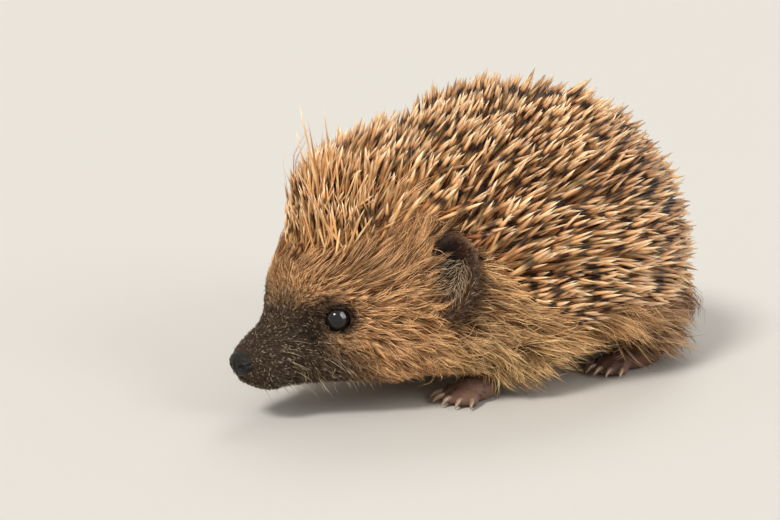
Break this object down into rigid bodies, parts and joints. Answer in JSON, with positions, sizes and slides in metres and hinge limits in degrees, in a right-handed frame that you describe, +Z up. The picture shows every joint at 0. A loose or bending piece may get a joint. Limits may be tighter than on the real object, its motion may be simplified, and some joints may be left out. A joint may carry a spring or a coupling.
{
  "type": "hedgehog",
  "caption": "Life-size young hedgehog standing hunched with its head low and brow spines raised: pointed snout, round ears, domed spiny back and small clawed feet.",
  "frame": {"origin": "centre of the footprint of the bounding box, on the floor that the soles stand on", "axes": "+Z up, -Y the way the nose points, +X the animal's left side"},
  "size_m": [0.092, 0.1605, 0.0854],
  "materials": {
    "fur": "coarse tawny hair with dark brown roots",
    "spines": "smooth cream spines, each with a dark brown band",
    "nose_leather": "black, finely grained and slightly wet",
    "ear_skin": "dark thin skin with sparse short hair",
    "eye": "glossy black",
    "bare_skin": "grey-brown skin with sparse hair and horn-coloured claws"
  },
  "bodies": {
    "root": {"head": "fur", "lower_jaw": "fur", "nose": "nose_leather", "neck": "fur", "trunk": "fur", "spines_crown": "spines", "spines_back": "spines", "tail": "bare_skin", "eye_left": "eye", "eye_right": "eye", "ear_left": "ear_skin", "ear_right": "ear_skin", "foreleg_left": "bare_skin", "foreleg_right": "bare_skin", "forefoot_left": "bare_skin", "forefoot_right": "bare_skin", "hindleg_left": "bare_skin", "hindleg_right": "bare_skin", "hindfoot_left": "bare_skin", "hindfoot_right": "bare_skin"}
  },
  "joints": []
}
